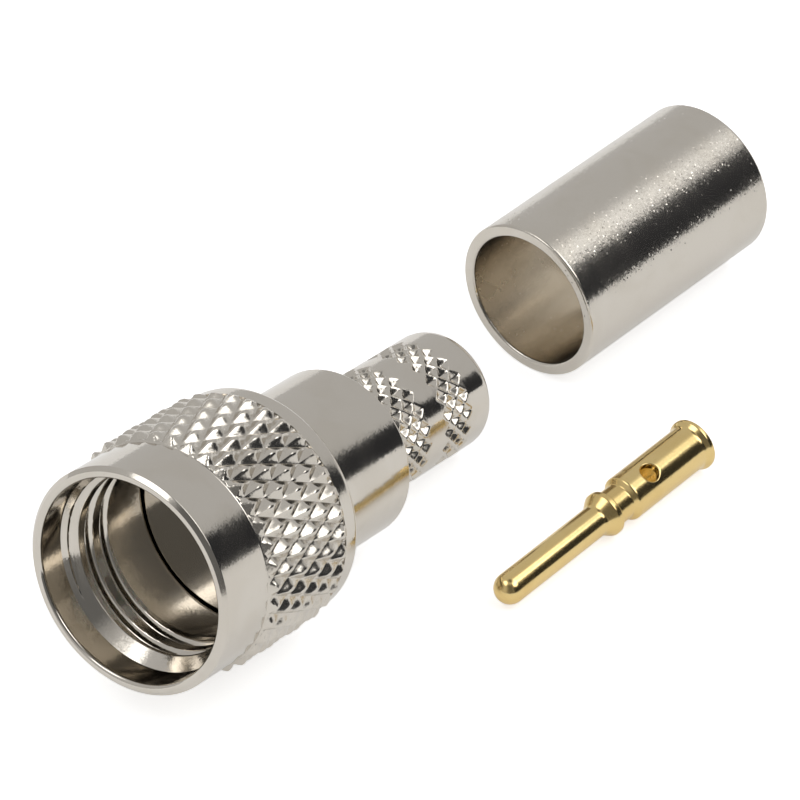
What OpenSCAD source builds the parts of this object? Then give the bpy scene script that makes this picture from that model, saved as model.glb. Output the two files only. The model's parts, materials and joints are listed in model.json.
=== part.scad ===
// Crimp plug for coaxial cable with a 3/8-24 screw coupling, in its three loose pieces:
// a plug with its captive knurled nut, a crimp ferrule and a solder contact.
// They lie on a table, +Z up, with the middle of their common footprint at the origin.

/* [Coupling nut] */
// Major diameter of the screw thread that the nut takes
thread_major_d = 9.525; // [8:0.005:12]
// Depth of the thread's turns on the radius
thread_depth = 0.42; // [0.3:0.02:0.5]
// Length of the threaded stretch
thread_len = 2.1; // [1.5:0.1:3.2]
// Depth of the plain mouth ahead of the thread
mouth_depth = 1.5; // [0.8:0.1:1.7]
// Length of the cone that leads into the thread
mouth_cone = 0.65; // [0.3:0.05:0.9]
// Radius of the mouth's inner edge
mouth_edge = 0.2; // [0.05:0.01:0.25]
// Wall of the smooth front ring round the mouth
ring_wall = 0.54; // [0.3:0.02:1]
// Length of the smooth front ring
ring_len = 3; // [1.5:0.1:5]
// Wall left under the bottom of the knurl
knurl_wall = 0.54; // [0.3:0.02:1]
// Height of the knurl's pyramids
knurl_depth = 0.3; // [0.1:0.02:0.4]
// Pyramids in one turn of the nut
knurl_starts = 36; // [24:1:60]
// Distance between neighbouring rings of pyramids
knurl_pitch = 1; // [0.6:0.05:1.3]
// Rings of whole pyramids
knurl_rings = 5; // [4:1:8]
// Distance from the front ring to the first ring of whole pyramids
knurl_lead = 0.9; // [0.5:0.05:1.2]
// Distance from the last ring of whole pyramids to the land
knurl_tail = 0.75; // [0.5:0.05:1]
// Bevel that the knurl runs out in, measured along the nut
knurl_bevel = 0.35; // [0.3:0.05:0.9]
// Length of the smooth land behind the knurl
land_len = 1.05; // [0.6:0.05:2]
// How far the land lies below the tips of the knurl
land_step = 0.16; // [0.05:0.01:0.3]
// Taper of the land on its radius
land_taper = 0.1; // [0:0.02:0.2]
// Turn of the nut on the plug
nut_turn = 0; // [0:0.5:10]
// Length of the inner lip that holds the nut on the plug
lip_len = 1.5; // [1.1:0.1:2]
// Radius of the nut's outer edges
nut_edge = 0.22; // [0.05:0.01:0.3]

/* [Plug body] */
// Diameter of the barrel
barrel_d = 8.2; // [7.4:0.05:8.6]
// Length of the barrel that shows behind the nut
barrel_len = 5.95; // [3:0.05:10]
// Thickness of the front flange
flange_len = 0.75; // [0.4:0.05:1.2]
// Thickness of the front wall that the insulator stops at
front_wall = 0.8; // [0.5:0.05:1.5]
// Diameter of the hole in the front wall
front_hole_d = 3.2; // [2.2:0.1:3.4]
// Length of the crimp stem
stem_len = 8.45; // [7.6:0.05:14]
// Wall of the crimp stem
stem_wall = 0.88; // [0.6:0.02:1.2]
// Radius of the stem's rear edge
stem_edge = 0.55; // [0.1:0.05:0.6]
// Radius of the barrel's rear edge
barrel_edge = 0.12; // [0.05:0.01:0.4]
// Distance from the barrel to the first ring of pits in the stem
pit_lead = 1.55; // [1:0.05:2]
// Rings of pits in each of the two gripping bands
pit_rings = 4; // [3:1:5]
// Rings left out between the two bands
pit_skip = 3; // [1:1:5]
// Pits in one ring
pit_starts = 21; // [16:1:26]
// Distance between neighbouring rings of pits
pit_pitch = 0.47; // [0.36:0.01:0.56]
// Width of a pit from corner to corner
pit_width = 0.8; // [0.3:0.02:0.84]
// Depth of a pit
pit_depth = 0.2; // [0.08:0.02:0.25]

/* [Insulator and retaining ring] */
// Outer diameter of the insulator
insulator_d = 3.7; // [3.5:0.1:5]
// Length of the insulator
insulator_len = 5; // [4:0.1:7]
// Length of the insulator's narrow front bore
insulator_step = 3.1; // [2:0.1:3.5]
// Radial thickness of the split retaining ring
clip_wall = 0.52; // [0.45:0.01:0.7]
// Length of the retaining ring along the plug
clip_len = 0.5; // [0.3:0.05:0.6]
// Width of the slit in the retaining ring
clip_slit = 1; // [0.5:0.1:2]
// Depth of the retaining ring's groove in the barrel
clip_groove = 0.35; // [0.25:0.01:0.5]

/* [Crimp ferrule] */
// Thickness of the cable braid between stem and ferrule
braid_room = 0.465; // [0.3:0.005:0.8]
// Wall of the ferrule
ferrule_wall = 0.6; // [0.3:0.02:1]
// Length of the ferrule
ferrule_len = 13.4; // [8:0.1:20]
// Radius of the ferrule's edges
ferrule_edge = 0.14; // [0.05:0.01:0.15]

/* [Solder contact] */
// Diameter of the contact's shaft
shaft_d = 1.52; // [1.2:0.02:1.7]
// Length of the shaft with its round nose
shaft_len = 6.8; // [5:0.1:9]
// Length of the cone that seats in the insulator
cone_len = 0.55; // [0.4:0.05:1.2]
// How far the collar stands proud of the shaft
collar_step = 0.35; // [0.2:0.01:0.5]
// Length of the collar
collar_len = 0.3; // [0.1:0.05:0.5]
// How far the neck stands proud of the shaft
neck_step = 0.13; // [0.05:0.01:0.18]
// Length of the neck
neck_len = 0.95; // [0.5:0.05:1.5]
// Diameter of the cable's inner wire
wire_d = 1.42; // [1:0.02:1.7]
// Wall of the solder cup
cup_wall = 0.37; // [0.2:0.01:0.5]
// Length of the barrel that holds the solder cup
cup_len = 5.45; // [4.9:0.05:8]
// Depth of the solder cup
cup_depth = 4.7; // [4.4:0.1:5]
// How far the rear rim stands proud of the barrel
rim_step = 0.18; // [0.08:0.01:0.3]
// Length of the flare that leads out to the rear rim
rim_flare = 0.25; // [0.1:0.05:0.5]
// Length of the rear rim
rim_len = 0.2; // [0.1:0.02:0.4]
// Diameter of the solder hole
solder_hole_d = 0.95; // [0.6:0.05:1.2]
// Distance from the contact's rear to the middle of the solder hole
solder_hole_back = 3.85; // [3:0.05:3.9]
// Turn of the solder hole about the contact, from straight up
solder_hole_turn = 25; // [-90:1:90]

/* [Clearances] */
// Radial room of the plain mouth over the mating thread
mouth_play = 0.1; // [0.04:0.01:0.3]
// Radial room of the relief behind the thread over the mating thread
relief_play = 0.14; // [0.05:0.01:0.3]
// Radial room between the flange and the nut
flange_play = 0.1; // [0.06:0.01:0.2]
// Radial running play of the nut on the barrel
nut_play = 0.08; // [0.06:0.01:0.12]
// End play of the nut, the retaining ring and the insulator
end_play = 0.06; // [0.04:0.01:0.1]
// Radial play of the retaining ring in its grooves
clip_play = 0.08; // [0.04:0.01:0.12]
// Radial clearance of the insulator in its seat
seat_play = 0.02; // [0.01:0.01:0.05]
// Radial clearance of the contact in the insulator
contact_play = 0.06; // [0.03:0.01:0.1]
// Radial clearance of the wire in the solder cup
wire_play = 0.04; // [0.02:0.01:0.08]
// Diameter of the cable's dielectric
dielectric_d = 4; // [3.2:0.1:4.7]
// Radial clearance of the dielectric in the stem
dielectric_play = 0.05; // [0.02:0.01:0.1]

/* [Layout on the table] */
// Room between the stem's end and the ferrule
ferrule_gap = 6.55; // [2:0.05:30]
// How far the ferrule lies to the side of the plug's axis
ferrule_side = 0.3; // [-10:0.05:10]
// Turn of the ferrule from the plug's axis
ferrule_turn = 5.6; // [-45:0.1:45]
// Distance from the plug's mouth back to the contact's nose
contact_lead = 14.7; // [0:0.1:40]
// How far the contact's nose lies to the side of the plug's axis
contact_side = 9.55; // [8:0.05:40]
// Turn of the contact from the plug's axis
contact_turn = 5.5; // [-20:0.1:45]

/* [Hidden] */
$fn = 96;
// Overlap that keeps joined or cut shapes from sharing a face
lap = 0.02;

// Radii of stem and seat, from the cable outwards
bore_r = dielectric_d / 2 + dielectric_play;
stem_r = bore_r + stem_wall;
seat_r = insulator_d / 2 + seat_play;
front_hole_r = front_hole_d / 2;

// Nut radii, from the thread outwards
thread_r = thread_major_d / 2 - thread_depth;
mouth_r = thread_major_d / 2 + mouth_play;
relief_r = thread_major_d / 2 + relief_play;
ring_r = mouth_r + ring_wall;
root_r = relief_r + knurl_wall;
crest_r = root_r + knurl_depth;
land_r = crest_r - land_step;

// The nut's lip runs on the barrel, and the flange in front of it turns in the relief
barrel_r = barrel_d / 2;
lip_r = barrel_r + nut_play;
flange_r = relief_r - flange_play;

// Slope of the bevel between front ring and knurl, and where it is as high as the bottom of the knurl
bevel_rise = (crest_r - ring_r) / knurl_bevel;
root_at = ring_len + max(0, root_r - ring_r) / bevel_rise;

// Distances behind the mouth, along the plug's axis
first_crest_at = ring_len + knurl_lead;
last_crest_at = first_crest_at + (knurl_rings - 1) * knurl_pitch;
land_at = last_crest_at + knurl_tail;
nut_len = land_at + land_len;
thread_at = mouth_depth + mouth_cone;
thread_end = thread_at + thread_len;
lip_at = nut_len - lip_len;
face_at = lip_at - end_play - flange_len;
seat_end = face_at + insulator_len + end_play;
shoulder_at = nut_len + barrel_len;
stem_end = shoulder_at + stem_len;
clip_at = nut_len - lip_len / 2;

// Contact radii, and distances behind its nose
shaft_r = shaft_d / 2;
collar_r = shaft_r + collar_step;
neck_r = shaft_r + neck_step;
wire_r = wire_d / 2 + wire_play;
cup_r = wire_r + cup_wall;
rim_r = cup_r + rim_step;
collar_at = shaft_len + cone_len;
neck_at = collar_at + collar_len;
cup_at = neck_at + neck_len;
contact_end = cup_at + cup_len;
rim_at = contact_end - rim_len;
cup_bevel = cup_r - neck_r;

// Ferrule radii
ferrule_bore_r = stem_r + braid_room;
ferrule_r = ferrule_bore_r + ferrule_wall;

// The plug comes to rest on its last ring of crests and the round edge of its stem
rest_run = stem_end - stem_edge - last_crest_at;
rest_drop = crest_r - (stem_r - stem_edge);
plug_dip = acos(stem_edge / norm([rest_run, rest_drop])) - atan2(rest_run, rest_drop);
plug_h = last_crest_at * sin(plug_dip) + crest_r * cos(plug_dip);

// The contact comes to rest on its collar and its rear rim, nose down
contact_dip = -atan2(rim_r - collar_r, rim_at - collar_at);
contact_h = collar_at * sin(contact_dip) + collar_r * cos(contact_dip);

// A pose is the front middle of a piece, its turn on the table and the dip of its rear
plug_pose = [[0, 0, plug_h], 0, plug_dip];
ferrule_x = stem_end * cos(plug_dip) + ferrule_gap;
ferrule_pose = [[ferrule_x, -ferrule_side, ferrule_r], -ferrule_turn, 0];
contact_pose = [[contact_lead, -contact_side, contact_h], -contact_turn, contact_dip];

// Middle of the footprint, from the widest rings of the three pieces
widest_rings = [
    [plug_pose, 0, ring_r], [plug_pose, last_crest_at, crest_r], [plug_pose, stem_end, stem_r],
    [ferrule_pose, 0, ferrule_r], [ferrule_pose, ferrule_len, ferrule_r],
    [contact_pose, 0, shaft_r], [contact_pose, contact_end, rim_r]
];
function heading(pose) = [cos(pose[1]) * cos(pose[2]), sin(pose[1]) * cos(pose[2]), -sin(pose[2])];
function ring_middle(ring) = ring[0][0] + ring[1] * heading(ring[0]);
function ring_reach(ring, axis) = ring[2] * sqrt(1 - heading(ring[0])[axis] ^ 2);
function footprint_middle(axis) =
    (min([for (ring = widest_rings) ring_middle(ring)[axis] - ring_reach(ring, axis)])
    + max([for (ring = widest_rings) ring_middle(ring)[axis] + ring_reach(ring, axis)])) / 2;
table_middle = [footprint_middle(0), footprint_middle(1), 0];

// Lays a piece, drawn with its front at the origin and its rear along +Z, in its pose
module lay(pose) {
    translate(pose[0] - table_middle)
        rotate([0, 90 + pose[2], pose[1]])
            children();
}

// Waste outside a round edge of a turned profile; inward points from the corner to the arc's centre
module edge_waste(corner, edge, inward) {
    difference() {
        translate(corner + inward * (edge - lap) / 2)
            square(edge + lap, center = true);
        translate(corner + inward * edge)
            circle(edge);
    }
}

// Closed ring of diamond pyramids. Their tips and corners alternate like the fields of a chessboard,
// with starts tips in each ring.
module diamond_ring(starts, pitch, rings, tip_r, corner_r, inner_r) {
    steps = 2 * starts;
    points = [
        for (i = [0:rings], k = [0:steps - 1])
            let (r = (i + k) % 2 == 0 ? tip_r : corner_r, a = k * 360 / steps)
            [r * cos(a), r * sin(a), i * pitch],
        for (i = [0, rings], k = [0:steps - 1])
            let (a = k * 360 / steps)
            [inner_r * cos(a), inner_r * sin(a), i * pitch]
    ];
    function at(i, k) = i * steps + k % steps;
    low = rings + 1;
    high = rings + 2;
    // Each cell is folded along the diagonal that joins its two corners
    cells = [
        for (i = [0:rings - 1], k = [0:steps - 1])
            each (i + k) % 2 == 0
                ? [[at(i, k), at(i, k + 1), at(i + 1, k)], [at(i + 1, k + 1), at(i + 1, k), at(i, k + 1)]]
                : [[at(i, k), at(i, k + 1), at(i + 1, k + 1)], [at(i, k), at(i + 1, k + 1), at(i + 1, k)]]
    ];
    walls = [
        for (k = [0:steps - 1])
            each [
                [at(low, k), at(high, k), at(low, k + 1)], [at(high, k), at(high, k + 1), at(low, k + 1)],
                [at(0, k), at(low, k), at(0, k + 1)], [at(low, k), at(low, k + 1), at(0, k + 1)],
                [at(rings, k), at(rings, k + 1), at(high, k)],
                [at(high, k), at(rings, k + 1), at(high, k + 1)]
            ]
    ];
    polyhedron(points, [for (face = concat(cells, walls)) [face[2], face[1], face[0]]]);
}

// Pyramids of the nut, trimmed by the bevels that they run out in
module nut_knurl() {
    inner_r = relief_r + knurl_wall / 2;
    intersection() {
        translate([0, 0, first_crest_at - 2 * knurl_pitch])
            rotate(nut_turn)
                diamond_ring(knurl_starts, knurl_pitch, knurl_rings + 3, crest_r, root_r, inner_r);
        rotate_extrude()
            polygon([
                [0, ring_len - knurl_bevel / 2],
                [ring_r - bevel_rise * knurl_bevel / 2, ring_len - knurl_bevel / 2],
                [crest_r + lap, ring_len + knurl_bevel + lap / bevel_rise],
                [crest_r + lap, land_at - knurl_bevel / 2],
                [land_r - lap, land_at + lap],
                [0, land_at + lap]
            ]);
    }
}

// Turned blank of the nut, with the knurl's place cut to just under its bottom
module nut_blank() {
    clip_room = clip_len / 2 + end_play;
    clip_room_r = barrel_r - clip_groove + 2 * clip_play + clip_wall;
    rotate_extrude()
        difference() {
            polygon([
                [mouth_r, 0], [ring_r, 0], [ring_r, ring_len + lap],
                [root_r - lap, root_at + lap], [root_r - lap, land_at], [land_r, land_at],
                [land_r - land_taper, nut_len], [lip_r, nut_len],
                [lip_r, clip_at + clip_room], [clip_room_r, clip_at + clip_room],
                [clip_room_r, clip_at - clip_room], [lip_r, clip_at - clip_room],
                [lip_r, lip_at], [relief_r, lip_at], [relief_r, thread_end],
                [thread_r, thread_end], [thread_r, thread_at], [mouth_r, mouth_depth]
            ]);
            edge_waste([mouth_r, 0], mouth_edge, [1, 1]);
            edge_waste([ring_r, 0], nut_edge, [-1, 1]);
            edge_waste([land_r - land_taper, nut_len], nut_edge, [-1, -1]);
        }
}

module coupling_nut() {
    color("silver")
        lay(plug_pose) {
            nut_blank();
            nut_knurl();
        }
}

// Two gripping bands of four-sided pits that are rolled into the stem, staggered from ring to ring
module stem_pits() {
    for (i = [0:2 * pit_rings + pit_skip - 1])
        if (i < pit_rings || i >= pit_rings + pit_skip)
            for (k = [0:pit_starts - 1])
                translate([0, 0, shoulder_at + pit_lead + i * pit_pitch])
                    rotate([0, 90, (k + i % 2 / 2) * 360 / pit_starts])
                        translate([0, 0, stem_r - pit_depth])
                            cylinder(2 * pit_depth, r1 = 0, r2 = pit_width, $fn = 4);
}

module body_blank() {
    groove_r = barrel_r - clip_groove;
    groove_half = clip_len / 2 + end_play;
    rotate_extrude()
        difference() {
            polygon([
                [front_hole_r, face_at], [flange_r, face_at], [flange_r, face_at + flange_len],
                [barrel_r, face_at + flange_len],
                [barrel_r, clip_at - groove_half], [groove_r, clip_at - groove_half],
                [groove_r, clip_at + groove_half], [barrel_r, clip_at + groove_half],
                [barrel_r, shoulder_at], [stem_r, shoulder_at],
                [stem_r, stem_end], [bore_r, stem_end], [bore_r, seat_end], [seat_r, seat_end],
                [seat_r, face_at + front_wall], [front_hole_r, face_at + front_wall]
            ]);
            edge_waste([barrel_r, shoulder_at], barrel_edge, [-1, -1]);
            edge_waste([stem_r, stem_end], stem_edge, [-1, -1]);
        }
}

module plug_body() {
    color("silver")
        lay(plug_pose)
            difference() {
                body_blank();
                stem_pits();
            }
}

module insulator() {
    nose_r = front_hole_r - seat_play;
    tube_r = shaft_r + contact_play;
    socket_r = collar_r + contact_play;
    color("white")
        lay(plug_pose)
            translate([0, 0, face_at])
                rotate_extrude()
                    polygon([
                        [tube_r, 0], [nose_r, 0], [nose_r, front_wall],
                        [insulator_d / 2, front_wall], [insulator_d / 2, insulator_len],
                        [socket_r, insulator_len], [socket_r, insulator_step + cone_len],
                        [tube_r, insulator_step]
                    ]);
}

module retaining_ring() {
    inner_r = barrel_r - clip_groove + clip_play;
    color("darkgoldenrod")
        lay(plug_pose)
            translate([0, 0, clip_at])
                difference() {
                    cylinder(clip_len, r = inner_r + clip_wall, center = true);
                    cylinder(clip_len + 2 * lap, r = inner_r, center = true);
                    translate([-inner_r - clip_wall, 0, 0])
                        cube([inner_r + clip_wall, clip_slit, clip_len + 2 * lap], center = true);
                }
}

module crimp_ferrule() {
    color("gainsboro")
        lay(ferrule_pose)
            rotate_extrude()
                difference() {
                    translate([ferrule_bore_r, 0])
                        square([ferrule_wall, ferrule_len]);
                    edge_waste([ferrule_r, 0], ferrule_edge, [-1, 1]);
                    edge_waste([ferrule_bore_r, 0], ferrule_edge, [1, 1]);
                    edge_waste([ferrule_r, ferrule_len], ferrule_edge, [-1, -1]);
                    edge_waste([ferrule_bore_r, ferrule_len], ferrule_edge, [1, -1]);
                }
}

// Turned blank of the contact: round nose, shaft, seating cone, collar, neck, cup and rim
module contact_blank() {
    translate([0, 0, shaft_r])
        sphere(shaft_r);
    rotate_extrude()
        polygon([
            [0, shaft_r], [shaft_r, shaft_r], [shaft_r, shaft_len], [collar_r, collar_at],
            [collar_r, neck_at], [neck_r, neck_at], [neck_r, cup_at], [cup_r, cup_at + cup_bevel],
            [cup_r, rim_at - rim_flare], [rim_r, rim_at], [rim_r, contact_end], [0, contact_end]
        ]);
}

module center_contact() {
    color("gold")
        lay(contact_pose)
            difference() {
                contact_blank();
                translate([0, 0, contact_end - cup_depth])
                    cylinder(cup_depth + lap, r = wire_r);
                translate([0, 0, contact_end - solder_hole_back])
                    rotate([0, -90, solder_hole_turn])
                        cylinder(cup_r + lap, d = solder_hole_d);
            }
}

coupling_nut();
plug_body();
insulator();
retaining_ring();
crimp_ferrule();
center_contact();
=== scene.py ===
# %% [markdown]
# # A coaxial crimp connector in three loose pieces
#
# The connector lies on a table as it comes out of its bag: a plug with a knurled coupling nut, a crimp
# ferrule and a gold plated contact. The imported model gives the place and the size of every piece. This
# lesson rebuilds the visible metal as fine turned surfaces, gives each metal its finish, and lights it
# like a product shot.

# %% Load the fixed frame
import json
import math

import bpy
import numpy as np
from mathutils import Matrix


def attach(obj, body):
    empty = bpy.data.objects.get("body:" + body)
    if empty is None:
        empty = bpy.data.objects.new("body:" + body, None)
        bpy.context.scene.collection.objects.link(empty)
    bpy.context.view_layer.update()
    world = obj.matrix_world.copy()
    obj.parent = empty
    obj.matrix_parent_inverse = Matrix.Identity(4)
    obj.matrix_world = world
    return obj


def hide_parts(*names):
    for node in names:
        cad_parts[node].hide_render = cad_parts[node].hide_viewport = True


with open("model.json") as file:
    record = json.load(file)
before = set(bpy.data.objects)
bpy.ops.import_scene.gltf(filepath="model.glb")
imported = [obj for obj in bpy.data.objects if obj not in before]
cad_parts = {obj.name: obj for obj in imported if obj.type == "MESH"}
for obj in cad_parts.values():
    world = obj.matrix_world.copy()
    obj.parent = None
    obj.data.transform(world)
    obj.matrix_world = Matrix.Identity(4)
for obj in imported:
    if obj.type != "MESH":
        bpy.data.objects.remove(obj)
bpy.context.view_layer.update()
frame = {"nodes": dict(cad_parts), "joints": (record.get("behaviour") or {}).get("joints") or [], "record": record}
mounts = {mount["name"]: mount for mount in frame["record"]["mounts"]}
MM = 0.001

# %% [markdown]
# ## Where the three pieces lie
#
# Every piece is a turned part, so one axis and one front point place it. The axes could be typed in as
# numbers, but then the looks would slip off the model when it is packed again. They are read from the
# frame instead: the nut's hinge gives the plug's axis, and the mounts give those of the loose pieces.

# %% Axes and ends of the pieces
UP = np.array([0.0, 0.0, 1.0])


def lathe_axes(heading):
    """Rows down, side, heading: heading runs from front to rear, side is level, down is side x heading."""
    heading = np.array(heading) / np.linalg.norm(heading)
    side = np.cross(UP, heading)
    side = side / np.linalg.norm(side)
    return np.stack([np.cross(side, heading), side, heading])


def on_axis(node, point, heading):
    """Front point, axes, length and largest radius of a CAD node about the axis through a point, in mm."""
    axes = lathe_axes(heading)
    mesh = frame["nodes"][node].data
    corners = np.empty(3 * len(mesh.vertices))
    mesh.vertices.foreach_get("co", corners)
    local = (corners.reshape(-1, 3) - point) @ axes.T
    start, end = local[:, 2].min(), local[:, 2].max()
    radius = np.hypot(local[:, 0], local[:, 1]).max()
    front = np.array(point) + start * axes[2]
    print(node, "length", round((end - start) / MM, 3), "radius", round(radius / MM, 3))
    return {"front": front, "axes": axes, "length": (end - start) / MM, "radius": radius / MM}


nut_hinge = frame["joints"][0]
plug_heading = -np.array(nut_hinge["axis"])
nut_place = on_axis("coupling_nut", nut_hinge["pos_m"], plug_heading)
body_place = on_axis("plug_body", nut_hinge["pos_m"], plug_heading)
ferrule_place = on_axis("crimp_ferrule", mounts["ferrule_bore"]["pos_m"], mounts["ferrule_bore"]["axis"])
contact_place = on_axis("center_contact", mounts["solder_cup"]["pos_m"], mounts["solder_cup"]["axis"])

# %% [markdown]
# ## Turned outlines
#
# A lathe leaves a profile swept round an axis. A profile is written as its few corners, each with the
# radius that the tool or the tumbling drum left on it. Blender's Bevel modifier could round the corners
# of a finished mesh, but arcs in the profile cost fewer faces and stay exactly round.

# %% Outline with round corners
ARC_STEPS = 6
SUPPORT = 0.25


def outline(corners, closed=False):
    """Profile through corners (radius, distance, rounding) in mm. A rounded corner becomes an arc that
    touches both of its sides; a point a little before and after the arc keeps the flat sides flat when
    shaded."""
    corners = np.array([(*corner, 0)[:3] for corner in corners], float)
    spot, rounding = corners[:, :2], corners[:, 2]
    back = np.roll(spot, 1, axis=0) - spot
    ahead = np.roll(spot, -1, axis=0) - spot
    back /= np.linalg.norm(back, axis=1)[:, None]
    ahead /= np.linalg.norm(ahead, axis=1)[:, None]
    half = 0.5 * np.arccos(np.clip((back * ahead).sum(1), -1, 1))
    half = np.where(rounding > 0, half, 1.0)
    reach = (rounding / np.tan(half))[:, None]
    middle = back + ahead
    middle /= np.maximum(np.linalg.norm(middle, axis=1), 1e-9)[:, None]
    centre = spot + middle * (rounding / np.sin(half))[:, None]
    sweep = (math.pi - 2 * half)[:, None, None]
    share = np.linspace(0, 1, ARC_STEPS + 1)[None, :, None]
    first = (spot + back * reach - centre)[:, None]
    last = (spot + ahead * reach - centre)[:, None]
    arc = (np.sin((1 - share) * sweep) * first + np.sin(share * sweep) * last) / np.sin(sweep)
    spare = SUPPORT * rounding[:, None]
    before = (spot + back * (reach + spare))[:, None]
    after = (spot + ahead * (reach + spare))[:, None]
    path = np.concatenate([before, centre[:, None] + arc, after], axis=1).reshape(-1, 2)
    step = np.linalg.norm(path - np.roll(path, 1, axis=0), axis=1)
    step[0] = step[0] if closed else 1
    return path[step > 1e-6]


round_square = outline([(1, 0, 0.1), (2, 0, 0.1), (2, 1, 0.1), (1, 1, 0.1)], closed=True)
print("a square with round corners has", len(round_square), "profile points")

# %% [markdown]
# ## From grids of numbers to pieces
#
# All pieces share one way into Blender. A surface is a grid: rows run along the profile, columns run round
# the axis, and every cell is two triangles. The choice of the diagonal matters on the knurl, where the fold
# between two pyramids has to lie on an edge. Each vertex also keeps its place on the lathe as an attribute,
# so that the finishes can follow the tool round the axis.

# %% Points and faces of a grid


def turned_points(radius, distance, turn):
    """Points at a radius, a distance along the axis and a turn about it: (r cos t, r sin t, d)."""
    radius, distance, turn = np.broadcast_arrays(radius, distance, turn)
    return np.stack([radius * np.cos(turn), radius * np.sin(turn), distance], axis=-1)


def grid_faces(ids, flip=False, keep=True):
    """Two triangles per cell of a grid of vertex numbers. flip takes the other diagonal, keep drops cells,
    and triangles that a pole has closed to a line are left out."""
    a, b, c, d = ids[:-1, :-1], ids[:-1, 1:], ids[1:, 1:], ids[1:, :-1]
    flip = np.broadcast_to(flip, a.shape)[..., None]
    one = np.where(flip, np.stack([a, b, d], -1), np.stack([a, b, c], -1))
    two = np.where(flip, np.stack([b, c, d], -1), np.stack([a, c, d], -1))
    faces = np.stack([one, two], axis=2)[np.broadcast_to(keep, a.shape)].reshape(-1, 3)
    whole = (faces != np.roll(faces, 1, axis=1)).all(1)
    return faces[whole]


print("a grid of 3 x 4 vertices has", len(grid_faces(np.arange(12).reshape(3, 4))), "triangles")

# %% Mesh maker


def lathe_place(path, turn, reference):
    """Place on the lathe in mm: the length along the profile, and a circle of a reference radius round the
    axis."""
    step = np.linalg.norm(np.diff(path, axis=0, prepend=path[:1]), axis=1)
    return turned_points(reference, np.cumsum(step)[:, None], turn)[..., [2, 0, 1]]


def make_piece(name, place, local, faces, lathe, sharp=35):
    """Mesh object at the origin, with its place in its vertices: front + local mm along the piece's axes."""
    points = place["front"] + local.reshape(-1, 3) * MM @ place["axes"]
    mesh = bpy.data.meshes.new(name)
    mesh.vertices.add(len(points))
    mesh.vertices.foreach_set("co", points.ravel())
    mesh.loops.add(faces.size)
    mesh.loops.foreach_set("vertex_index", faces.ravel().astype(np.int32))
    mesh.polygons.add(len(faces))
    mesh.polygons.foreach_set("loop_start", np.arange(0, faces.size, 3, dtype=np.int32))
    mesh.update(calc_edges=True)
    mesh.shade_smooth()
    mesh.set_sharp_from_angle(angle=math.radians(sharp))
    spot = mesh.attributes.new("lathe", "FLOAT_VECTOR", "POINT")
    spot.data.foreach_set("vector", lathe.reshape(-1, 3).astype(np.float32).ravel())
    piece = bpy.data.objects.new(name, mesh)
    bpy.context.scene.collection.objects.link(piece)
    print(name, len(points), "vertices", len(faces), "triangles")
    return piece


# %% [markdown]
# ## A chessboard of tips
#
# Two rolls with crossed helical teeth press the knurl into the nut, and a finer pair the gripping pits into
# the stem. Both leave tips that alternate like the fields of a chessboard. An image could fake them as
# bump, but the pyramids show in the outline of the nut, so they are real. Seen along the two helix
# directions the tips form a plain square lattice, where the nearest one is found by rounding.

# %% Nearest tip of a chessboard lattice


def nearest_tip(distance, turn, starts, pitch):
    """Offsets from the nearest tip, across and along, in half diamonds, and the number of the tip's ring.
    Sum and difference of the two coordinates are whole numbers at the tips, so both are simply rounded."""
    across = turn * starts / math.pi
    along = distance / pitch
    up, down = 0.5 * (along + across), 0.5 * (along - across)
    tip_up, tip_down = np.round(up), np.round(down)
    up, down = up - tip_up, down - tip_down
    return up - down, up + down, tip_up + tip_down


def eased(value, soft):
    """Absolute value with a rounded bottom."""
    return np.hypot(value, soft) - soft


def diamond_flip(distance, turn, starts, pitch):
    """True for the cells whose groove runs along the second diagonal, by the chessboard field of their
    middle."""
    across = np.floor((turn[:-1] + turn[1:]) / 2 * starts / math.pi)
    along = np.floor((distance[:-1] + distance[1:]) / 2 / pitch)
    return (across[None, :] + along[:, None]) % 2 == 0


print("a quarter ring past a tip:", [float(x) for x in nearest_tip(0.25, 0.0, 36, 1.0)])

# %% [markdown]
# ## The coupling nut
#
# The nut is turned, knurled, threaded and plated bright. Its front is a smooth thin ring round a plain
# mouth; the thread starts behind a cone, and a wider relief lets the tool run out. The profile is cut at the
# knurl and at the thread, where the radius depends on the turn as well.
#
# Two cones at 45 degrees catch the left lamp: the chamfer of the ring's outer rim, and the bevel that the
# knurl starts in. A round edge would show only a hair line of light there. The bevel cuts through the first
# row of tips, so the rows of the grid lie closer together in it. The phase of the tips, FIRST_CREST and
# KNURL_TURN, was read from the reference.

# %% Sizes of the nut
RING_R, ROOT_R, LAND_R = 5.4025, 5.4425, 5.535
RING_LEN, FIRST_CREST, LAND_AT = 3.0, 3.4, 8.65
KNURL_STARTS, KNURL_PITCH, KNURL_STEPS = 36, 1.0, 6
KNURL_TURN = math.radians(2.5)
FRONT_BEVEL, REAR_BEVEL, BEVEL_ROWS, BEVEL_BACK = 0.34, 0.34, 11, 0.03
KNURL_SOFT, KNURL_HOLLOW = 0.08, 1.2
TIP_WORN, VALLEY_FILL, FILL_SOFT = 0.14, 0.1, 0.1
RIM_CHAMFER, RIM_EDGE, MOUTH_EDGE = 0.19, 0.05, 0.2
LAND_TAPER, LAND_EDGE, EDGE_ROOM = 0.03, 0.34, 0.06
MOUTH_R, RELIEF_R, LIP_R = 4.8625, 4.9025, 4.18
MOUTH_DEPTH, LIP_LEN = 1.5, 1.5
RELIEF_EDGE, LIP_FRONT_EDGE, LIP_REAR_EDGE = 0.2, 0.04, 0.05
CLIP_ROOM_R, CLIP_ROOM_LEN = 4.43, 0.62
crest_r, nut_len = nut_place["radius"], nut_place["length"]
thread_crest_r = mounts["coupling_thread"]["dims"]["r_mm"]
thread_len = mounts["coupling_thread"]["dims"]["length_mm"]
print("nut length", round(nut_len, 3), "knurl radius", round(crest_r, 3))

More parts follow.
